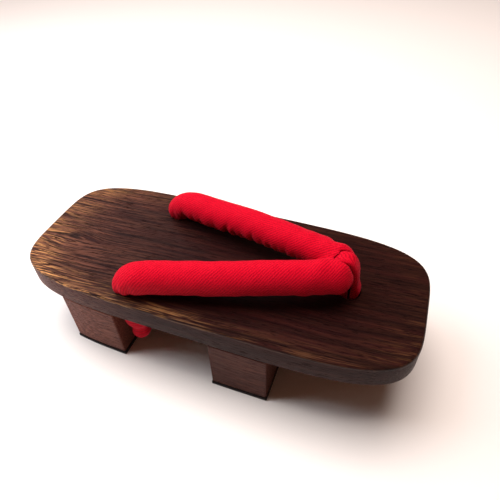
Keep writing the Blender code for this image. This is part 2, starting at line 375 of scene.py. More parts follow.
    def _warped(self, tree: Tree, grain: Socket) -> Socket:
        """Bends the straight grain slightly, over long stretches, and more round the knot.

        Args:
            tree: the node tree.
            grain: the straight grain's place, in millimetres.

        Returns:
            The bent grain's place.
        """
        sway = add_node(tree, "ShaderNodeTexNoise", {
            "Vector": grain, "Scale": 1 / self.sway_run_mm, "Detail": 0.0}).outputs["Color"]
        sway = vector_step(tree, 'SUBTRACT', sway, (0.5, 0.5, 0.5))
        flow = vector_step(tree, 'ADD', grain, vector_step(tree, 'MULTIPLY', sway, self.sway_mm))
        from_knot = vector_step(tree, 'SUBTRACT', grain, (*self.knot_mm, 56.0))
        oval = vector_step(tree, 'MULTIPLY', from_knot, tuple(1 / size for size in self.knot_reach_mm))
        pull = ramp(tree, vector_step(tree, 'LENGTH', oval), 1.6, 0.0, 0.0, 0.75)
        across = vector_step(tree, 'MULTIPLY', from_knot, (0.0, 1.0, 0.0))
        return vector_step(tree, 'SUBTRACT', flow, vector_step(tree, 'SCALE', across, pull))

    @staticmethod
    def _wear_and_painted_light(tree: Tree, parts: bpy.types.Node, broad: Socket,
              top: Socket) -> Socket:
        """How thin the stain is worn: little in the middle, most at the heel's edge on the near side. Its
        growth towards the heel is partly painted light from the heel side.

        Args:
            tree: the node tree.
            parts: the node with the place's X, Y and Z.
            broad: the broad streaks of the wood.
            top: 1 on the board's top face and 0 elsewhere.

        Returns:
            The socket of the wear and the painted light, 0 to 1.
        """
        edge = []
        for axis, half in (("X", Board.half_length), ("Y", Board.half_width)):
            from_middle = arithmetic(tree, 'ABSOLUTE', parts.outputs[axis])
            share = arithmetic(tree, 'DIVIDE', from_middle, half)
            edge.append(arithmetic(tree, 'POWER', share, Board.power))
        worn = ramp(tree, arithmetic(tree, 'ADD', *edge), 0.20, 0.95)
        # The first share grows towards the heel. This is partly wear and partly painted light from the
        # heel side.
        for share in (ramp(tree, parts.outputs["X"], 0.04, -0.09, 0.07, 1.0),
                      ramp(tree, broad, 0.38, 0.56, 0.2, 1.0),
                      ramp(tree, parts.outputs["Y"], 0.015, -0.030, 0.45, 1.0), top):
            worn = arithmetic(tree, 'MULTIPLY', worn, share)
        return worn


@dataclass(frozen=True)
class BlackRubber:
    """Matt black sheet rubber, cut with a knife: fine even tooth and hardly any gloss."""

    name: str = "black_sheet_rubber"
    colour: str = "#0B090A"
    dusty: str = "#1C191A"
    grit_mm: float = 0.35
    dust_mm: float = 9.0

    def build(self) -> Material:
        """Makes the material.

        Returns:
            The material.
        """
        made, tree, shader = new_material(self.name)
        place = add_node(tree, "ShaderNodeTexCoord").outputs["Object"]
        grit = noise(tree, place, self.grit_mm * MM, 3.0)
        dust = ramp(tree, noise(tree, place, self.dust_mm * MM, 4.0), 0.45, 0.75, 0.0, 0.5)
        fill_inputs(tree, shader, {
            "Base Color": blend_colour(tree, dust, linear(self.colour), linear(self.dusty)),
            "Normal": relief_of(tree, grit, 0.4, 0.08), "Roughness": 0.82, "IOR": 1.52})
        return made


@dataclass(frozen=True)
class RedTwill:
    """Cotton twill, dyed bright red: slanting ribs with painted shade in the valleys, and a soft pink
    bloom.

    The pattern reads the piece's own UV map, which holds millimetres along and round the padded tube.

    Attributes:
        bright, shade, bloom: colours of the ribs, of the painted shade in the valleys between them, and
            of the soft sheen.
        rib_mm: distance between two ribs, straight across them. Real twill has about half of it, and
            wouldn't show at the render's size.
        lean_deg: how far the ribs lean from the tube's length.
        yarn_mm: length of one bead of yarn along a rib.
        fuzz_mm: size of the loose fibres' tufts.
        sway_mm: over what length the ribs waver.
    """

    name: str = "red_cotton_twill"
    bright: str = "#C00722"
    shade: str = "#5A0312"
    bloom: str = "#FF6A86"
    rib_mm: float = 1.35
    lean_deg: float = 45.0
    yarn_mm: float = 0.95
    fuzz_mm: float = 0.8
    sway_mm: float = 7.0
    uv_map: str = "weave"

    def build(self) -> Material:
        """Makes the material.

        Returns:
            The material.
        """
        made, tree, shader = new_material(self.name)
        weave = add_node(tree, "ShaderNodeUVMap", uv_map=self.uv_map).outputs[0]
        jitter = noise(tree, weave, self.sway_mm, 2.0, flat=True)
        parts = add_node(tree, "ShaderNodeSeparateXYZ", {0: weave})
        lean = math.radians(self.lean_deg)
        across = self._combine(tree, parts, math.sin(lean), -math.cos(lean))
        across = arithmetic(tree, 'MULTIPLY_ADD', jitter, 0.8, across)
        along = self._combine(tree, parts, math.cos(lean), math.sin(lean))
        rib = self._wave(tree, across, self.rib_mm)
        yarn = self._wave(tree, arithmetic(tree, 'MULTIPLY_ADD', across, 0.35, along), self.yarn_mm)
        fuzz = noise(tree, weave, self.fuzz_mm, 3.0, flat=True)
        beads = arithmetic(tree, 'MULTIPLY', rib, arithmetic(tree, 'MULTIPLY_ADD', yarn, 0.6, 0.4))
        relief = arithmetic(tree, 'MULTIPLY_ADD', fuzz, 1.4, beads)
        # Painted shade: the colour goes towards the shade colour in the valleys between the ribs.
        painted_valley_shade = ramp(tree, relief, 1.20, 0.65, 0.0, 0.50)
        fill_inputs(tree, shader, {
            "Base Color": blend_colour(tree, painted_valley_shade, linear(self.bright), linear(self.shade)),
            "Normal": relief_of(tree, relief, 0.7, 0.20), "Roughness": 0.9, "Specular IOR Level": 0.15,
            "Sheen Weight": 0.16, "Sheen Roughness": 0.4, "Sheen Tint": linear(self.bloom)})
        return made

    @staticmethod
    def _combine(tree: Tree, parts: bpy.types.Node, by_u: float,
                 by_v: float) -> Socket:
        """Adds the map's two directions, each times its own share."""
        scaled = arithmetic(tree, 'MULTIPLY', parts.outputs["Y"], by_v)
        return arithmetic(tree, 'MULTIPLY_ADD', parts.outputs["X"], by_u, scaled)

    @staticmethod
    def _wave(tree: Tree, distance: Socket, pitch: float) -> Socket:
        """A wave from 0 to 1 that repeats at a pitch."""
        turn = arithmetic(tree, 'MULTIPLY', distance, 2 * math.pi / pitch)
        return arithmetic(tree, 'MULTIPLY_ADD', arithmetic(tree, 'SINE', turn), 0.5, 0.5)


# ---------------------------------------------------------------- mesh helpers


def new_object(name: str, bm: Mesh) -> Item:
    """Turns a bmesh into a smooth-shaded object at the origin.

    Args:
        name: the piece's name.
        bm: its mesh, which is freed.

    Returns:
        The object.
    """
    mesh = bpy.data.meshes.new(name)
    bm.to_mesh(mesh)
    bm.free()
    made = bpy.data.objects.new(name, mesh)
    bpy.context.scene.collection.objects.link(made)
    mesh.shade_smooth()
    return made


def apply_modifiers(item: Item) -> None:
    """Gives an object its evaluated mesh and takes its modifiers off.

    Args:
        item: the object.
    """
    shaped = item.evaluated_get(bpy.context.evaluated_depsgraph_get())
    shaped = bpy.data.meshes.new_from_object(shaped)
    item.modifiers.clear()
    old = item.data
    item.data = shaped
    shaped.name = item.name
    bpy.data.meshes.remove(old)


def add_boolean(target: Item, other: Item, operation: str) -> None:
    """Adds an exact Boolean modifier that joins or cuts target with other."""
    step = target.modifiers.new(f"{operation.lower()}_{other.name}", 'BOOLEAN')
    step.operation, step.object, step.solver = operation, other, 'EXACT'


def discard(*items: Item) -> None:
    """Removes guides that have done their work."""
    for item in items:
        bpy.data.objects.remove(item, do_unlink=True)


def signed_power(value: Array, power: float) -> Array:
    """A power that keeps the sign."""
    return np.sign(value) * np.abs(value) ** power


def catmull_rom(rows: Array, steps: int) -> Array:
    """Further rows between the given ones, on a smooth curve through them all.

    Args:
        rows: an array with a row for each place.
        steps: how many rows replace each one.

    Returns:
        The finer rows.
    """
    rows = np.asarray(rows, float)
    last = len(rows) - 1
    dense = []
    for k in range(last):
        p, q, r, u = rows[max(k - 1, 0)], rows[k], rows[k + 1], rows[min(k + 2, last)]
        for t in np.arange(steps) / steps:
            dense.append(0.5 * (2 * q + (r - p) * t + (2 * p - 5 * q + 4 * r - u) * t * t
                                + (3 * q - p - 3 * r + u) * t ** 3))
    dense.append(rows[-1])
    return np.array(dense)


def read_vectors(mesh: bpy.types.Mesh, name: str) -> Array:
    """Reads the vertices' places ("co") or normals ("normal") as rows of three."""
    values = np.zeros(len(mesh.vertices) * 3)
    mesh.vertices.foreach_get(name, values)
    return values.reshape(-1, 3)


def skin(bm: Mesh, rings: list[Array]) -> list[list[bmesh.types.BMVert]]:
    """Skins a row of closed rings.

    Args:
        bm: the mesh that gets the skin.
        rings: arrays of points, as many in each.

    Returns:
        The vertices of each ring.
    """
    loops = [[bm.verts.new(point) for point in ring] for ring in rings]
    for one, other in zip(loops, loops[1:]):
        for i in range(len(one)):
            j = (i + 1) % len(one)
            bm.faces.new((one[i], one[j], other[j], other[i]))
    return loops


def loft(rings: list[Array]) -> Mesh:
    """A closed skin over rings, with a flat face at each end and its faces pointing outwards."""
    bm = bmesh.new()
    loops = skin(bm, rings)
    bm.faces.new(reversed(loops[0]))
    bm.faces.new(loops[-1])
    bmesh.ops.recalc_face_normals(bm, faces=bm.faces)
    return bm


def headings_of(centres: Array) -> Array:
    """The unit direction of travel at each centre."""
    ahead = np.vstack([centres[1:], centres[-1:]])
    behind = np.vstack([centres[:1], centres[:-1]])
    step = ahead - behind
    return step / np.linalg.norm(step, axis=1, keepdims=True)


def section(centre: Array, forward: Array, inward: Array, half_a: float, half_b: float,
            turn: float, power: float, sides: int) -> Array:
    """One ring of points round a tube's centre, in the plane across its direction.

    Args:
        centre: the middle of the ring.
        forward: the tube's direction.
        inward: the level direction that the section's turn starts from.
        half_a: half the section's broad width.
        half_b: half its narrow width.
        turn: by how much the broad width leans up from level, in radians.
        power: 2 for an ellipse, and more for a squarer section.
        sides: how many points there are.

    Returns:
        The ring's points.
    """
    level = inward - forward * inward.dot(forward)
    level = level / np.linalg.norm(level)
    rise = np.cross(forward, level) * math.copysign(1, inward[1])
    rise = rise / np.linalg.norm(rise)
    a_axis = level * math.cos(turn) + rise * math.sin(turn)
    b_axis = rise * math.cos(turn) - level * math.sin(turn)
    angle = 2 * math.pi * np.arange(sides) / sides
    a = half_a * signed_power(np.cos(angle), 2 / power)
    b = half_b * signed_power(np.sin(angle), 2 / power)
    return centre + np.outer(a, a_axis) + np.outer(b, b_axis)


def dress(piece: Item, material: Material,
          replaced: tuple[str, ...] = ()) -> None:
    """Gives a piece its material and its body, and hides the nodes it stands for.

    Args:
        piece: the object.
        material: its material.
        replaced: the part's nodes that it stands for.
    """
    piece.data.materials.clear()
    piece.data.materials.append(material)
    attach(piece, BODY)
    if replaced:
        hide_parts(*replaced)
    LOG.info("piece %s: %d faces", piece.name, len(piece.data.polygons))


# ---------------------------------------------------------------- the sandal


@dataclass
class Heights:
    """Levels of the sandal over the floor, as in the part's source."""

    pad: float = 0.0022
    tooth: float = 0.0378
    board: float = 0.0155
    seam: float = 0.0003

    @property
    def board_bottom(self) -> float:
        """Underside of the board."""
        return self.pad + self.tooth + 2 * self.seam

    @property
    def board_top(self) -> float:
        """Top of the board."""
        return self.board_bottom + self.board


@dataclass
class Board:
    """The flat board: a rounded outline, softened edges, and three holes for strap and thong."""

    heights: Heights
    half_length: float = 0.1200
    half_width: float = 0.0497
    power: float = 4.5
    edge_round: float = 0.0016
    hole_round: float = 0.0006
    outline_points: int = 360
    hole_points: int = 48
    round_steps: int = 6
    collar: float = 0.0005
    # x, y and radius
    holes: tuple[tuple[float, float, float], ...] = (
        (-0.0425, 0.0319, 0.0062), (-0.0425, -0.0371, 0.0062), (0.0772, 0.0015, 0.0062))

    def outline(self, inset: float) -> Array:
        """The outline, evenly spaced, drawn in by an inset.

        Args:
            inset: distance inwards from the board's side.

        Returns:
            Points with x and y.
        """
        angle = np.linspace(0, 2 * math.pi, 20000, endpoint=False)
        x = self.half_length * signed_power(np.cos(angle), 2 / self.power)
        y = self.half_width * signed_power(np.sin(angle), 2 / self.power)
        step = np.hypot(np.diff(x, append=x[0]), np.diff(y, append=y[0]))
        run = np.concatenate([[0], np.cumsum(step)])
        even = run[-1] * np.arange(self.outline_points) / self.outline_points
        x, y = np.interp(even, run, np.append(x, x[0])), np.interp(even, run, np.append(y, y[0]))
        normal = np.stack([signed_power(x / self.half_length, self.power - 1) / self.half_length,
                           signed_power(y / self.half_width, self.power - 1) / self.half_width], axis=1)
        normal /= np.linalg.norm(normal, axis=1, keepdims=True)
        return np.stack([x, y], axis=1) - normal * inset

    def _ladder(self, radius: float) -> list[tuple[float, float]]:
        """Inset and height of each ring of a wall with two rounded edges, from the top down."""
        turns = [math.pi / 2 * k / self.round_steps for k in range(self.round_steps + 1)]
        steps = [(radius * (1 - math.sin(t)), radius * (1 - math.cos(t))) for t in turns]
        top, bottom = self.heights.board_top, self.heights.board_bottom
        return [(radius + self.collar, top), *((inset, top - depth) for inset, depth in steps),
                *((inset, bottom + depth) for inset, depth in reversed(steps)),
                (radius + self.collar, bottom)]

    def build(self) -> Item:
        """Makes the board's mesh.

        Returns:
            The board.
        """
        bm = bmesh.new()
        rims = [skin(bm, [np.c_[self.outline(inset), np.full(self.outline_points, z)]
                          for inset, z in self._ladder(self.edge_round)])]
        turns = np.linspace(0, 2 * math.pi, self.hole_points, endpoint=False)
        ring = np.stack([np.cos(turns), np.sin(turns)], axis=1)
        for x, y, radius in self.holes:
            rims.append(skin(bm, [np.c_[ring * (radius + more) + (x, y), np.full(self.hole_points, z)]
                                  for more, z in self._ladder(self.hole_round)]))
        for end in (0, -1):
            self._face(bm, [rim[end] for rim in rims])
        bmesh.ops.recalc_face_normals(bm, faces=bm.faces)
        return new_object("board_wood", bm)

    @staticmethod
    def _face(bm: Mesh, rims: list[list[bmesh.types.BMVert]]) -> None:
        """Fills the flat face between the outer rim and the holes' rims.

        Args:
            bm: the mesh.
            rims: vertices of the outer rim, and then of each hole's rim.
        """
        corners = [vert for rim in rims for vert in rim]
        points = [Vector((vert.co.x, vert.co.y)) for vert in corners]
        edges, faces, start = [], [], 0
        for rim in rims:
            edges += [(start + i, start + (i + 1) % len(rim)) for i in range(len(rim))]
            faces.append(list(range(start, start + len(rim))))
            start += len(rim)
        found = geometry.delaunay_2d_cdt(points, edges, faces, 1, 1e-9)
        holes = [np.mean([(v.co.x, v.co.y) for v in rim], axis=0) for rim in rims[1:]]
        reach = [max(math.dist((v.co.x, v.co.y), hole) for v in rim)
                 for rim, hole in zip(rims[1:], holes)]
        for triangle, origin in zip(found[2], found[4]):
            middle = np.mean([found[0][i] for i in triangle], axis=0)
            if any(math.dist(middle, hole) < size * 0.999 for hole, size in zip(holes, reach)):
                continue
            bm.faces.new([corners[found[3][i][0]] for i in triangle])


@dataclass
class Strap:
    """The padded strap: a stuffed tube on each side, which meet in a nose behind the thong."""

    heights: Heights
    rear_x: float = -0.0425
    rear_y: float = 0.0345
    nose_x: float = 0.0706
    nose_y: float = 0.005526
    lean: float = 0.0026
    breadth: float = 0.0192
    depth: float = 0.0180
    rise: float = 0.0166
    power: float = 2.2
    neck: float = 0.0056
    neck_rise: float = 0.0055
    knot_width: float = 0.0180
    knot_length: float = 0.0290
    knot_seat_x: float = -0.0408
    sides: int = 56
    end_sides: int = 40
    steps: int = 9
    nose_steps: int = 8
    voxel: float = 0.0011
    # along, spread, rise, broad, deep, turn: as in the part's source
    rows: tuple[tuple[float, ...], ...] = (
        (-0.008, 1.000, 0.00, 0.74, 0.74, 20),
        (-0.008, 1.006, 0.14, 0.82, 0.80, 25),
        (0.012, 1.010, 0.33, 0.91, 0.90, 30),
        (0.052, 0.988, 0.50, 0.97, 0.97, 34),
        (0.115, 0.935, 0.61, 0.99, 1.00, 38),
        (0.277, 0.780, 0.69, 0.99, 1.01, 44),
        (0.472, 0.617, 0.80, 1.00, 1.00, 50),
        (0.670, 0.395, 0.89, 1.00, 0.98, 58),
        (0.850, 0.205, 0.96, 1.01, 0.94, 68),
        (1.000, 0.000, 0.99, 1.03, 0.88, 78),
    )
    # drop, width, shift: as in the part's source
    knot_rows: tuple[tuple[float, ...], ...] = (
        (0.02, 0.62, 0.10),
        (0.10, 0.88, 0.60),
        (0.24, 1.00, 1.00),
        (0.40, 0.92, 1.00),
        (0.54, 0.66, 0.90),
        (0.68, 0.60, 0.60),
        (0.84, 0.68, 0.40),
        (0.95, 0.52, 0.30),
        (1.00, 0.22, 0.25),
    )

    def centreline(self, side: Side) -> tuple[Array, Array]:
        """The middle of one side's tube, and the size and turn of its section.

        Args:
            side: which side of the sandal.

        Returns:
            The centres, and rows of half breadth, half depth and turn in radians.
        """
        table = catmull_rom(self.rows, self.steps)
        along, spread, rise, broad, deep, turn = table.T
        run = self.nose_x - self.rear_x
        off_middle = self.nose_y + (self.rear_y - self.nose_y) * spread
        y = side.value * off_middle - self.lean * (1 - along)
        height = self.heights.board_top + self.rise * rise
        centres = np.stack([self.rear_x + run * along, y, height], axis=1)
        sizes = np.stack([self.breadth / 2 * broad, self.depth / 2 * deep, np.radians(turn)], axis=1)
        return centres, sizes

    def tube(self, side: Side) -> Item:
        """One side's tube, with a round end at the nose."""
        centres, sizes = self.centreline(side)
        headings = headings_of(centres)
        inward = np.array((0.0, -side.value, 0.0))
        rings = [section(centre, forward, inward, *size, self.power, self.sides)
                 for centre, forward, size in zip(centres, headings, sizes)]
        half_a, half_b, turn = sizes[-1]
        for k in range(1, self.nose_steps + 1):
            bend = math.pi / 2 * k / (self.nose_steps + 0.3)
            rings.append(section(centres[-1] + headings[-1] * half_b * math.sin(bend), headings[-1],
                                 inward, half_a * math.cos(bend), half_b * math.cos(bend), turn,
                                 self.power, self.sides))
        return new_object(f"strap_{side.name.lower()}", loft(rings))

    def end(self, side: Side) -> Item:
        """The neck in the rear hole, and the knot and tail under the board."""
        top, bottom = self.heights.board_top, self.heights.board_bottom
        knot_top = bottom - self.heights.seam
        table = catmull_rom([(0.0, 0.56, 0.0), *self.knot_rows], 5)
        stations = [(level, self.neck, 0.0) for level in (top + self.neck_rise, top, bottom)]
        stations += [(knot_top - self.knot_length * drop, self.knot_width / 2 * width, shift)
                     for drop, width, shift in table[1:]]
        turns = np.linspace(0, 2 * math.pi, self.end_sides, endpoint=False)
        y = side.value * self.rear_y - self.lean
        rings = []
        for height, radius, shift in stations:
            x = self.rear_x + (self.knot_seat_x - self.rear_x) * shift
            rings.append(np.stack([x + radius * np.cos(turns), y + radius * np.sin(turns),
                                   np.full(self.end_sides, height)], axis=1))
        return new_object(f"strap_end_{side.name.lower()}", loft(rings))

    def build(self, groove: Item, gathers: "Gathers") -> Item:
        """Joins the tubes and their ends, and cuts the thong's way through the nose.

        Args:
            groove: the thong's body, grown by a clearance.
            gathers: what gives the cloth its folds.

        Returns:
            The strap.
        """
        strap = self.tube(Side.NEAR)
        strap.name = "straps_cloth"
        far = self.tube(Side.FAR)
        near_end, far_end = self.end(Side.NEAR), self.end(Side.FAR)
        bm = bmesh.new()
        bmesh.ops.create_cube(bm, size=1.0, matrix=Matrix.Diagonal((0.4, 0.2, self.heights.board, 1.0)))
        middle = self.heights.board_bottom + self.heights.board / 2 + self.heights.seam
        bmesh.ops.translate(bm, vec=(0, 0, middle), verts=bm.verts)
        contact = new_object("board_contact", bm)
        add_boolean(strap, far, 'UNION')
        add_boolean(strap, groove, 'DIFFERENCE')
        add_boolean(strap, contact, 'DIFFERENCE')
        add_boolean(strap, near_end, 'UNION')
        add_boolean(strap, far_end, 'UNION')
        skin = strap.modifiers.new("even_skin", 'REMESH')
        skin.mode, skin.voxel_size = 'VOXEL', self.voxel
        apply_modifiers(strap)
        discard(far, near_end, far_end, contact)
        relax = strap.modifiers.new("relax", 'SMOOTH')
        relax.factor, relax.iterations = 0.5, 2
        apply_modifiers(strap)
        gathers.shape(strap)
        finer = strap.modifiers.new("finer", 'SUBSURF')
        finer.levels = finer.render_levels = 1
        apply_modifiers(strap)
        strap.data.shade_smooth()
        self.map_weave(strap)
        return strap

    def map_weave(self, strap: Item) -> None:
        """Lays a UV map in millimetres along and round each tube, and up and round each knot.

        Args:
            strap: the finished strap.
        """
        mesh = strap.data
        points = read_vectors(mesh, "co")
        charts = [self.chart(points, side) for side in Side]
        u = np.stack([chart[0] for chart in charts])
        angle = np.stack([chart[1] for chart in charts])
        off = np.stack([chart[2] for chart in charts])
        radius_mm = self.breadth / 2 / MM
        layer = mesh.uv_layers.new(name="weave")
        for face in mesh.polygons:
            corners = list(face.vertices)
            k = int(off[:, corners].mean(axis=1).argmin())
            turns = angle[k, corners]
            if turns.max() - turns.min() > math.pi:
                turns = np.where(turns < 0, turns + 2 * math.pi, turns)
            for loop, corner, turn in zip(face.loop_indices, corners, turns):
                layer.data[loop].uv = (u[k, corner] / MM, -turn * radius_mm)

    def chart(self, points: Array, side: Side) -> tuple[Array, Array, Array]:
        """Where points lie along and round one side's tube.

        Args:
            points: the points.
            side: which tube.

        Returns:
            Distance along the tube, the angle from straight up towards -Y, and the distance from its
            middle.
        """
        centres, _ = self.centreline(side)
        headings = headings_of(centres)
        drop = np.array([centres[0] - (0, 0, self.knot_length + self.heights.board)])
        centres = np.vstack([drop, centres, centres[-1] + headings[-1] * self.depth])
        step = np.linalg.norm(np.diff(centres, axis=0), axis=1)
        run = np.concatenate([[0], np.cumsum(step)])
        best = np.full(len(points), np.inf)
        along, near = np.zeros(len(points)), np.zeros((len(points), 3))
        for k in range(len(step)):
            axis = (centres[k + 1] - centres[k]) / max(step[k], 1e-9)
            t = np.clip((points - centres[k]) @ axis, 0, step[k])
            foot = centres[k] + t[:, None] * axis
            gap = np.linalg.norm(points - foot, axis=1)
            closer = gap < best
            best[closer], along[closer], near[closer] = gap[closer], run[k] + t[closer], foot[closer]
        away = points - near
        return along, np.arctan2(-away[:, 1], away[:, 2]), best


@dataclass
class Gathers:
    """What the needle and the stuffing do to the strap's cloth.

    A seam runs along the lower inner side of each tube. It is drawn tight, so short puckers cross it, and
    they are strongest on the rear half. The cloth is pleated where it enters the rear holes, and the
    stuffing leaves soft lumps. Moves in code give each fold its place, and a short cloth simulation lets
    the cloth between them buckle and round itself.

    Attributes:
        strap: the strap that the folds belong to.
        seam_deg: where the seam lies, from straight up, towards the inner side.
        seam_depth, seam_width: how far the seam draws the cloth in, and over what width.
        pitch, uneven: distance between two puckers, and the share by which it varies.
        fade: height over the board within which the folds die out.
        strength: for shares of the tube's length from the rear, how strong the folds are.
        lump, lump_waves, lump_run: height of the stuffing's lumps, how many waves make them, and how
            long the waves are.
        grip: distance from the nose within which the thong holds the cloth.
        slack: by how much the cloth beside the seam is longer than the seam.
        zoom: how much larger the cloth is while it is simulated, because the solver works in metres.
        limit: the furthest that the simulation moves a point.
    """

    strap: Strap
    seed: int = 7
    seam_deg: float = 124.0
    seam_depth: float = 0.0007
    seam_width: float = 0.0013
    pitch: float = 0.0056
    uneven: float = 0.30
    pucker_depth: float = 0.0030
    pucker_width: float = 0.0015
    pucker_bulge: float = 0.0006
    pucker_reach: float = 0.0060
    pleats: int = 7
    pleat_depth: float = 0.0016
    pleat_turn: float = 0.20
    pleat_height: float = 0.0075
    fade: float = 0.0015
    strength: tuple[tuple[float, ...], tuple[float, ...]] = (
        (0, 0.08, 0.45, 0.8, 1), (0.6, 1.0, 0.9, 0.45, 0.25))
    margin: float = 0.004
    lump: float = 0.00010
    lump_waves: int = 18
    lump_run: tuple[float, float] = (0.007, 0.018)
    grip: float = 0.0075
    zoom: float = 10.0
    frames: int = 20
    pressure: float = 30.0
    slack: float = 0.25
    limit: float = 0.0011

    def from_seam(self, side: Side, angle: Array) -> Array:
        """The distance of points from the seam, measured round the tube."""
        seam = math.radians(self.seam_deg) * side.value
        turn = (angle - seam + math.pi) % (2 * math.pi) - math.pi
        return turn * self.strap.breadth / 2

    def shape(self, item: Item) -> None:
        """Gives the strap its folds.

        Args:
            item: the strap's even skin.
        """
        points, normals = read_vectors(item.data, "co"), read_vectors(item.data, "normal")
        charts = [self.strap.chart(points, side) for side in Side]
        nearest = np.stack([chart[2] for chart in charts]).argmin(axis=0)
        over = np.clip((points[:, 2] - self.strap.heights.board_top) / self.fade, 0, 1)
        rng = np.random.default_rng(self.seed)
        move = self._lumps(points, rng) * over
        held, loose = 1 - over, np.zeros(len(points))
        for k, side in enumerate(Side):
            run, angle, _ = charts[k]
            mine = (nearest == k) * over
            off = self.from_seam(side, angle)
            start = self.strap.knot_length + self.strap.heights.board
            share = np.clip((run - start) / (self.strap.nose_x - self.strap.rear_x), 0, 1)
            strength = np.interp(share, *self.strength)
            move -= mine * strength * self.seam_depth * np.exp(-(off / self.seam_width) ** 2)
            move += mine * strength * self.pucker_bulge * np.exp(-(off / self.pucker_reach) ** 2)
            move -= mine * strength * self._puckers(run, off, start, rng)
            move -= mine * self._pleats(points, side, rng)
            held = np.maximum(held, mine * (np.abs(off) < self.seam_width * 0.7))
            loose = np.maximum(loose, mine * strength * np.exp(-(off / (1.4 * self.pucker_reach)) ** 2))
        nose = np.hypot(points[:, 0] - self.strap.nose_x, points[:, 1])
        held = np.maximum(held, (nose < self.grip) * 1.0)
        points += normals * move[:, None]
        item.data.vertices.foreach_set("co", points.ravel())
        item.data.update()
        self._settle(item, held, np.maximum(loose, 0.25 * over))

    def _lumps(self, points: Array, rng: Generator) -> Array:
        """Soft unevenness of the stuffing, stronger near the nose."""
        total = np.zeros(len(points))
        for _ in range(self.lump_waves):
            way = rng.normal(size=3)
            way /= np.linalg.norm(way)
            total += np.sin(points @ way * 2 * math.pi / rng.uniform(*self.lump_run) + rng.uniform(0, 7))
        nearer = np.exp(-((points[:, 0] - self.strap.nose_x + 0.006) / 0.016) ** 2)
        return self.lump * total / 3 * (1 + 2.2 * nearer)

    def _puckers(self, run: Array, off: Array, start: float, rng: Generator) -> Array:
        """Depth of the short furrows that cross the seam.

        Args:
            run: for each point, the distance along the tube.
            off: its distance from the seam.
            start: where the tube leaves the rear hole.
            rng: the random numbers.

        Returns:
            For each point, how deep it is drawn in.
        """
        depth = np.zeros(len(run))
        place = start + self.margin
        end = start + self.strap.nose_x - self.strap.rear_x - self.margin
        while place < end:
            reach = self.pucker_reach * rng.uniform(0.6, 1.3)
            slant = rng.uniform(-0.35, 0.35)
            across = (run - place - slant * off) / self.pucker_width
            deep = self.pucker_depth * rng.uniform(0.4, 1.0)
            depth = np.maximum(depth, deep * np.exp(-across ** 2 - (off / reach) ** 2))
            place += self.pitch * rng.uniform(1 - self.uneven, 1 + self.uneven)
        return depth

    def _pleats(self, points: Array, side: Side, rng: Generator) -> Array:
        """Depth of the upright pleats where the cloth goes into a rear hole."""
        x = points[:, 0] - self.strap.rear_x
        y = points[:, 1] - (side.value * self.strap.rear_y - self.strap.lean)
        around, level = np.arctan2(y, x), points[:, 2] - self.strap.heights.board_top
        fade = np.exp(-(level / self.pleat_height) ** 2) * (np.hypot(x, y) < 0.016)
        depth = np.zeros(len(points))
        for k in range(self.pleats):
            place = 2 * math.pi * (k + rng.uniform(-0.3, 0.3)) / self.pleats
            turn = (around - place + math.pi) % (2 * math.pi) - math.pi
            depth = np.maximum(depth, rng.uniform(0.5, 1.0) * np.exp(-(turn / self.pleat_turn) ** 2))
        return self.pleat_depth * depth * fade

    def _settle(self, item: Item, held: Array, loose: Array) -> None:
        """Runs a short cloth simulation and keeps its result, each point's move held to a limit.

        Args:
            item: the strap, which gets its new form.
            held: for each point, how firmly it stays where it is.
            loose: for each point, how much slack its cloth has.
        """
        scene, mesh = bpy.context.scene, item.data
        before = read_vectors(mesh, "co")
        mesh.vertices.foreach_set("co", (before * self.zoom).ravel())
        for name, weights in (("held", held), ("loose", loose)):
            group = item.vertex_groups.new(name=name)
            for index in np.nonzero(weights > 0.01)[0]:
                group.add([int(index)], float(weights[index]), 'REPLACE')
        cloth = item.modifiers.new("padding", 'CLOTH')
        made = cloth.settings
        made.quality, made.mass, made.air_damping = 6, 0.3, 4.0
        made.tension_stiffness = made.compression_stiffness = 20.0
        made.shear_stiffness, made.bending_stiffness = 8.0, 0.6
        made.vertex_group_mass, made.pin_stiffness = "held", 1.0
        made.vertex_group_shrink, made.shrink_min, made.shrink_max = "loose", 0.0, -self.slack
        made.use_pressure, made.uniform_pressure_force = True, self.pressure
        made.use_pressure_volume, made.target_volume = False, 0.0
        made.effector_weights.gravity = 0.0
        cloth.collision_settings.use_collision = False
        cloth.point_cache.frame_start, cloth.point_cache.frame_end = 1, self.frames
        for frame in range(1, self.frames + 1):
            scene.frame_set(frame)
        shaped = item.evaluated_get(bpy.context.evaluated_depsgraph_get())
        after = read_vectors(shaped.data, "co") / self.zoom
        item.modifiers.clear()
        item.vertex_groups.clear()
        scene.frame_set(1)
        step = after - before
        size = np.linalg.norm(step, axis=1, keepdims=True)
        LOG.info("cloth moved %.2f mm in the mean, %.2f mm at most", size.mean() / MM, size.max() / MM)
        step *= np.minimum(1, self.limit / np.maximum(size, 1e-9))
        mesh.vertices.foreach_set("co", (before + step).ravel())
        mesh.update()


@dataclass(frozen=True)
class RedThread:
    """Sewing thread in the cloth's red: smooth, twisted, with a soft gloss."""

    name: str = "red_sewing_thread"
    colour: str = "#A80A1E"
    dark: str = "#5C0410"
    ply_mm: float = 0.25

    def build(self) -> Material:
        """Makes the material.

        Returns:
            The material.
        """
        made, tree, shader = new_material(self.name)
        place = add_node(tree, "ShaderNodeTexCoord").outputs["Object"]
        ply = noise(tree, place, self.ply_mm * MM, 1.0)
        # Painted shade: the colour goes towards the dark red where the plies' bump is low, in the grooves
        # between them.
        fill_inputs(tree, shader, {
            "Base Color": blend_colour(tree, ramp(tree, ply, 0.6, 0.35), linear(self.colour),
                                       linear(self.dark)),
            "Normal": relief_of(tree, ply, 0.5, 0.06), "Roughness": 0.6})
        return made


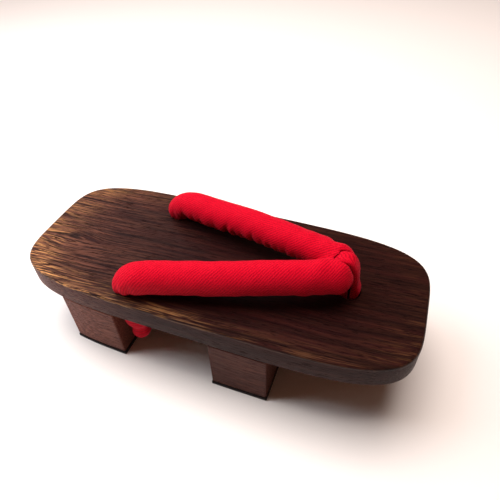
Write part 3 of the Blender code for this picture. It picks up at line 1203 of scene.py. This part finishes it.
@dataclass
class Stitches:
    """Hand stitches along the strap's two seams, set out by Geometry Nodes.

    Attributes:
        gathers: the seams that the stitches hold.
        pitch: distance from one stitch to the next.
        first: the first of the tube's sections that the seam crosses.
    """

    gathers: Gathers
    pitch: float = 0.0030
    length: float = 0.0021
    width: float = 0.0006
    uneven: float = 0.18
    seed: int = 5
    first: int = 22

    def seam(self, item: Item, side: Side) -> list[Vector]:
        """Points on the cloth along one seam, found by rays from the tube's middle."""
        strap = self.gathers.strap
        centres, _ = strap.centreline(side)
        skin = BVHTree.FromObject(item, bpy.context.evaluated_depsgraph_get())
        turn = math.radians(self.gathers.seam_deg) * side.value
        points = []
        for centre, forward in list(zip(centres, headings_of(centres)))[self.first:-8]:
            way = Vector((0, -math.sin(turn), math.cos(turn)))
            way = (way - Vector(forward) * way.dot(Vector(forward))).normalized()
            place, normal, _, _ = skin.ray_cast(Vector(centre), way, strap.breadth)
            if place is not None:
                points.append(place + normal * self.width * 0.25)
        return points

    def tree(self) -> Tree:
        """The node tree that turns a line into a row of stitches."""
        tree = bpy.data.node_groups.new("stitches_along_a_line", 'GeometryNodeTree')
        named = (("Line", "Geometry"), ("Pitch", "Float"), ("Length", "Float"), ("Width", "Float"),
                 ("Uneven", "Float"), ("Seed", "Int"), ("Thread", "Material"))
        for name, kind in named:
            tree.interface.new_socket(name, in_out='INPUT', socket_type=f"NodeSocket{kind}")
        tree.interface.new_socket("Stitches", in_out='OUTPUT', socket_type='NodeSocketGeometry')
        given = add_node(tree, "NodeGroupInput").outputs
        line = add_node(tree, "GeometryNodeMeshToCurve", {"Mesh": given["Line"]}).outputs[0]
        even = add_node(tree, "GeometryNodeResampleCurve", {"Curve": line, "Length": given["Pitch"]},
                        mode='LENGTH').outputs[0]
        bead = add_node(tree, "GeometryNodeMeshUVSphere", {
            "Segments": 12, "Rings": 8, "Radius": 0.5}).outputs[0]
        size = add_node(tree, "ShaderNodeCombineXYZ", {
            "X": given["Length"], "Y": given["Width"], "Z": given["Width"]}).outputs[0]
        thread = add_node(tree, "GeometryNodeTransform", {"Geometry": bead, "Scale": size}).outputs[0]
        tangent = add_node(tree, "GeometryNodeInputTangent").outputs[0]
        along = add_node(tree, "FunctionNodeAlignRotationToVector", {"Vector": tangent},
                         axis='X').outputs[0]
        least = arithmetic(tree, 'SUBTRACT', 1.0, given["Uneven"])
        most = arithmetic(tree, 'ADD', 1.0, given["Uneven"])
        scale = add_node(tree, "FunctionNodeRandomValue", {2: least, 3: most, "Seed": given["Seed"]},
                         data_type='FLOAT').outputs[1]
        row = add_node(tree, "GeometryNodeInstanceOnPoints", {
            "Points": even, "Instance": thread, "Rotation": along, "Scale": scale}).outputs[0]
        real = add_node(tree, "GeometryNodeRealizeInstances", {"Geometry": row}).outputs[0]
        smooth = add_node(tree, "GeometryNodeSetShadeSmooth", {"Geometry": real}).outputs[0]
        dressed = add_node(tree, "GeometryNodeSetMaterial", {
            "Geometry": smooth, "Material": given["Thread"]})
        add_node(tree, "NodeGroupOutput", {"Stitches": dressed.outputs[0]})
        return tree

    def build(self, item: Item, thread: Material) -> Item:
        """Makes both rows of stitches as one mesh.

        Args:
            item: the finished strap.
            thread: the thread's material.

        Returns:
            The stitches.
        """
        bm = bmesh.new()
        for side in Side:
            row = [bm.verts.new(point) for point in self.seam(item, side)]
            for one, other in zip(row, row[1:]):
                bm.edges.new((one, other))
        made = new_object("seam_stitches", bm)
        maker = made.modifiers.new("stitches", 'NODES')
        maker.node_group = self.tree()
        values = {"Pitch": self.pitch, "Length": self.length, "Width": self.width,
                  "Uneven": self.uneven, "Seed": self.seed, "Thread": thread}
        for socket in maker.node_group.interface.items_tree:
            if socket.in_out == 'INPUT' and socket.name in values:
                maker[socket.identifier] = values[socket.name]
        apply_modifiers(made)
        return made


@dataclass
class Thong:
    """The front thong: a flat band that loops over the strap's nose, with a knot under the board."""

    heights: Heights
    hole_x: float = 0.0772
    offset_y: float = 0.0015
    width: float = 0.0086
    thickness: float = 0.0034
    power: float = 3.2
    pinch: float = 0.0035
    reach_back: float = 0.0122
    leg_gap: float = 0.0012
    swell: float = 0.00095
    swell_height: float = 0.0025
    swell_reach: float = 0.0045
    knot_size: tuple[float, float, float] = (0.0180, 0.0144, 0.0110)
    nose_top: float = 0.0261
    sides: int = 48
    steps: int = 8
    # back, height: as in the part's source
    rows: tuple[tuple[float, float], ...] = (
        (0.00, 0.00), (0.00, 0.30), (0.02, 0.56), (0.10, 0.79), (0.32, 0.97), (0.60, 1.00),
        (0.86, 0.95), (1.03, 0.80), (1.00, 0.58), (0.76, 0.32), (0.47, 0.10),
    )

    @property
    def knot_z(self) -> float:
        """Height of the knot's middle."""
        return self.heights.board_bottom - self.heights.seam - self.knot_size[2] / 2

    def path(self) -> Array:
        """The loop's centre line, from the front leg over the nose to the rear leg."""
        leg = (self.thickness + self.leg_gap) / 2
        top = self.heights.board_top
        height = self.nose_top + self.thickness / 2 - self.pinch
        in_hole = (self.knot_z + top) / 2
        front, rear = self.hole_x + leg, self.hole_x - leg
        points = [(front, self.knot_z), (front, in_hole)]
        points += [(front - self.reach_back * back, top + height * share) for back, share in self.rows]
        points += [(rear, in_hole), (rear, self.knot_z)]
        dense = catmull_rom(points, self.steps)
        return np.stack([dense[:, 0], np.full(len(dense), self.offset_y), dense[:, 1]], axis=1)

    def rings(self, clearance: float) -> list[Array]:
        """Rings along the loop, grown all round by a clearance."""
        centres = self.path()
        across = np.array((0.0, 1.0, 0.0))
        over = (centres[:, 2] - self.heights.board_top - self.swell_height) / self.swell_reach
        fuller = self.swell * np.exp(-over ** 2) * (centres[:, 0] > self.hole_x)
        return [section(centre + (extra, 0, 0), forward, across, self.width / 2 + clearance,
                        self.thickness / 2 + clearance + extra, 0.0, self.power, self.sides)
                for centre, forward, extra in zip(centres, headings_of(centres), fuller)]

    def groove(self) -> Item:
        """The way that the thong needs through the strap's nose."""
        return new_object("thong_groove", loft(self.rings(self.heights.seam)))

    def build(self) -> Item:
        """Makes the band with its knot.

        Returns:
            The thong.
        """
        thong = new_object("thong_cloth", loft(self.rings(0.0)))
        self.map_weave(thong)
        knot = self.knot()
        add_boolean(thong, knot, 'UNION')
        apply_modifiers(thong)
        discard(knot)
        thong.data.shade_smooth()
        return thong

    def knot(self) -> Item:
        """The knot under the board: a rounded lump whose turns of cloth show as slanting furrows.

        Returns:
            The knot, with its UV map.
        """
        bm = bmesh.new()
        bmesh.ops.create_uvsphere(bm, u_segments=64, v_segments=40, radius=0.5)
        for vert in bm.verts:
            turn = math.atan2(vert.co.y, vert.co.x)
            furrow = abs(math.sin(1.5 * turn + 5.0 * vert.co.z)) ** 0.4
            level = max(0.0, 1.0 - (2 * vert.co.z) ** 4)
            vert.co *= 1.0 - 0.10 * (1.0 - furrow) * level
        bmesh.ops.scale(bm, vec=self.knot_size, verts=bm.verts)
        layer = bm.loops.layers.uv.new("weave")
        for face in bm.faces:
            middle = face.calc_center_median()
            base = math.atan2(middle.y, middle.x)
            for loop in face.loops:
                turn = math.atan2(loop.vert.co.y, loop.vert.co.x)
                turn = base + (turn - base + math.pi) % (2 * math.pi) - math.pi
                loop[layer].uv = (turn * self.knot_size[0] / 2 / MM, loop.vert.co.z / MM)
        bmesh.ops.translate(bm, vec=(self.hole_x, self.offset_y, self.knot_z), verts=bm.verts)
        return new_object("thong_knot", bm)

    def map_weave(self, thong: Item) -> None:
        """Lays a UV map in millimetres along and across the band.

        Args:
            thong: the band, whose vertices still lie ring after ring.
        """
        centres = self.path()
        run = np.concatenate([[0], np.cumsum(np.linalg.norm(np.diff(centres, axis=0), axis=1))])
        layer = thong.data.uv_layers.new(name="weave")
        girth = 2 * (self.width + self.thickness)
        for face in thong.data.polygons:
            ring = [v // self.sides for v in face.vertices]
            turn = [v % self.sides for v in face.vertices]
            if max(turn) - min(turn) > self.sides / 2 and len(turn) == 4:
                turn = [t + self.sides if t < self.sides / 2 else t for t in turn]
            for loop, r, t in zip(face.loop_indices, ring, turn):
                layer.data[loop].uv = (run[r] / MM, girth * t / self.sides / MM)


# ---------------------------------------------------------------- studio


@dataclass(frozen=True)
class Panel:
    """A square soft light.

    Attributes:
        name: the light's name.
        place: where it stands.
        aim: the point that it faces.
        size: the length of its side.
        power: its power in watts.
        colour: its sRGB hex colour.
        glossy: whether it shows in glossy surfaces.
    """

    name: str
    place: tuple[float, float, float]
    aim: tuple[float, float, float]
    size: float
    power: float
    colour: str
    glossy: bool = True

    def build(self) -> None:
        """Makes the light."""
        data = bpy.data.lights.new(self.name, 'AREA')
        data.size, data.energy, data.color = self.size, self.power, linear(self.colour)[:3]
        item = bpy.data.objects.new(self.name, data)
        item.location = self.place
        item.rotation_mode = 'QUATERNION'
        item.rotation_quaternion = (Vector(self.aim) - Vector(self.place)).to_track_quat('-Z', 'Y')
        item.visible_glossy = self.glossy
        bpy.context.scene.collection.objects.link(item)


@dataclass
class Studio:
    """The floor, the lights and the camera that repeats the photo's angle."""

    azimuth_deg: float = 21.60
    elevation_deg: float = 44.39
    roll_deg: float = -1.86
    distance: float = 0.31798
    focal_px: float = 456.73
    frame_px: float = 500.0
    sensor_mm: float = 36.0
    look: tuple[float, float, float] = (0.00354, 0.0386, 0.030)
    floor_colour: str = "#E6E4E3"
    floor_half: float = 4.0
    room_colour: str = "#FFB892"
    room_strength: float = 0.12
    panels: tuple[Panel, ...] = (
        Panel("window", (-0.85, 0.75, 0.80), (0, 0, 0.03), 0.70, 1.1, "#F6FAFF"),
        Panel("ceiling", (-0.06, 0.24, 1.18), (0, 0, 0), 0.9, 20.5, "#FFF1E8", glossy=False),
        Panel("sky_light", (-0.42, -0.02, 0.55), (-0.05, 0, 0.03), 0.45, 4.3, "#F8FBFF",
              glossy=False),
        Panel("left_wall", (-0.62, -0.20, 0.26), (-0.10, 0, 0.03), 0.4, 0.75, "#FFFFFF"),
    )

    def camera(self) -> None:
        """Makes the camera and makes it the scene's own."""
        azimuth, elevation = math.radians(self.azimuth_deg), math.radians(self.elevation_deg)
        roll, level_part = math.radians(self.roll_deg), math.cos(elevation)
        back = Vector((math.sin(azimuth) * level_part, -math.cos(azimuth) * level_part,
                       math.sin(elevation)))
        right = (-back).cross(Vector((0, 0, 1))).normalized()
        up = right.cross(-back)
        level = right * math.cos(roll) + up * math.sin(roll)
        upright = up * math.cos(roll) - right * math.sin(roll)
        data = bpy.data.cameras.new("photo_camera")
        data.sensor_width = self.sensor_mm
        data.lens = self.focal_px / self.frame_px * self.sensor_mm
        data.clip_start, data.clip_end = 0.01, 20.0
        item = bpy.data.objects.new("photo_camera", data)
        bpy.context.scene.collection.objects.link(item)
        turned = Matrix((level, upright, back)).transposed().to_4x4()
        item.matrix_world = Matrix.Translation(Vector(self.look) + back * self.distance) @ turned
        bpy.context.scene.camera = item

    def floor(self) -> None:
        """A plain pale floor."""
        made, tree, shader = new_material("pale_floor")
        fill_inputs(tree, shader, {
            "Base Color": linear(self.floor_colour), "Roughness": 0.75, "Specular IOR Level": 0.2})
        bm = bmesh.new()
        bmesh.ops.create_grid(bm, x_segments=1, y_segments=1, size=self.floor_half)
        ground = new_object("floor", bm)
        ground.data.materials.append(made)

    def light(self) -> None:
        """Daylight from the heel side, a soft ceiling, a faint window and a dim warm room."""
        world = bpy.data.worlds.new("room")
        world.use_nodes = True
        fill_inputs(world.node_tree, world.node_tree.nodes["Background"], {
            "Color": linear(self.room_colour), "Strength": self.room_strength})
        bpy.context.scene.world = world
        for panel in self.panels:
            panel.build()

    def build(self) -> None:
        """Makes everything round the object."""
        self.camera()
        self.floor()
        self.light()
        bpy.context.scene.view_settings.view_transform = 'Standard'


def main() -> None:
    """Builds the sandal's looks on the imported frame."""
    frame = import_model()
    nodes = frame["nodes"]
    Studio().build()

    heights = Heights()
    board_wood = StainedWood("stained_board_wood").build()
    dress(Board(heights).build(), board_wood, ("board",))
    for name, shift, pale in TEETH:
        finish = StainedWood(f"stained_{name}_wood", shift_mm=shift, tilt_deg=-3.0, grey=0.06,
                             pale=pale, knot_mm=OFF_THE_PIECE).build()
        nodes[name].data.materials.clear()
        nodes[name].data.materials.append(finish)
    rubber = BlackRubber().build()
    for name in ("rear_pad", "front_pad"):
        nodes[name].data.materials.clear()
        nodes[name].data.materials.append(rubber)

    twill = RedTwill().build()
    thong = Thong(heights)
    groove = thong.groove()
    gathers = Gathers(Strap(heights))
    straps = gathers.strap.build(groove, gathers)
    discard(groove)
    band = thong.build()
    thread = RedThread().build()
    stitches = Stitches(gathers).build(straps, thread)
    dress(straps, twill, ("straps",))
    dress(band, twill, ("front_thong",))
    dress(stitches, thread)


if __name__ == "__main__":
    logging.basicConfig(level=logging.INFO, format="%(message)s")
    main()
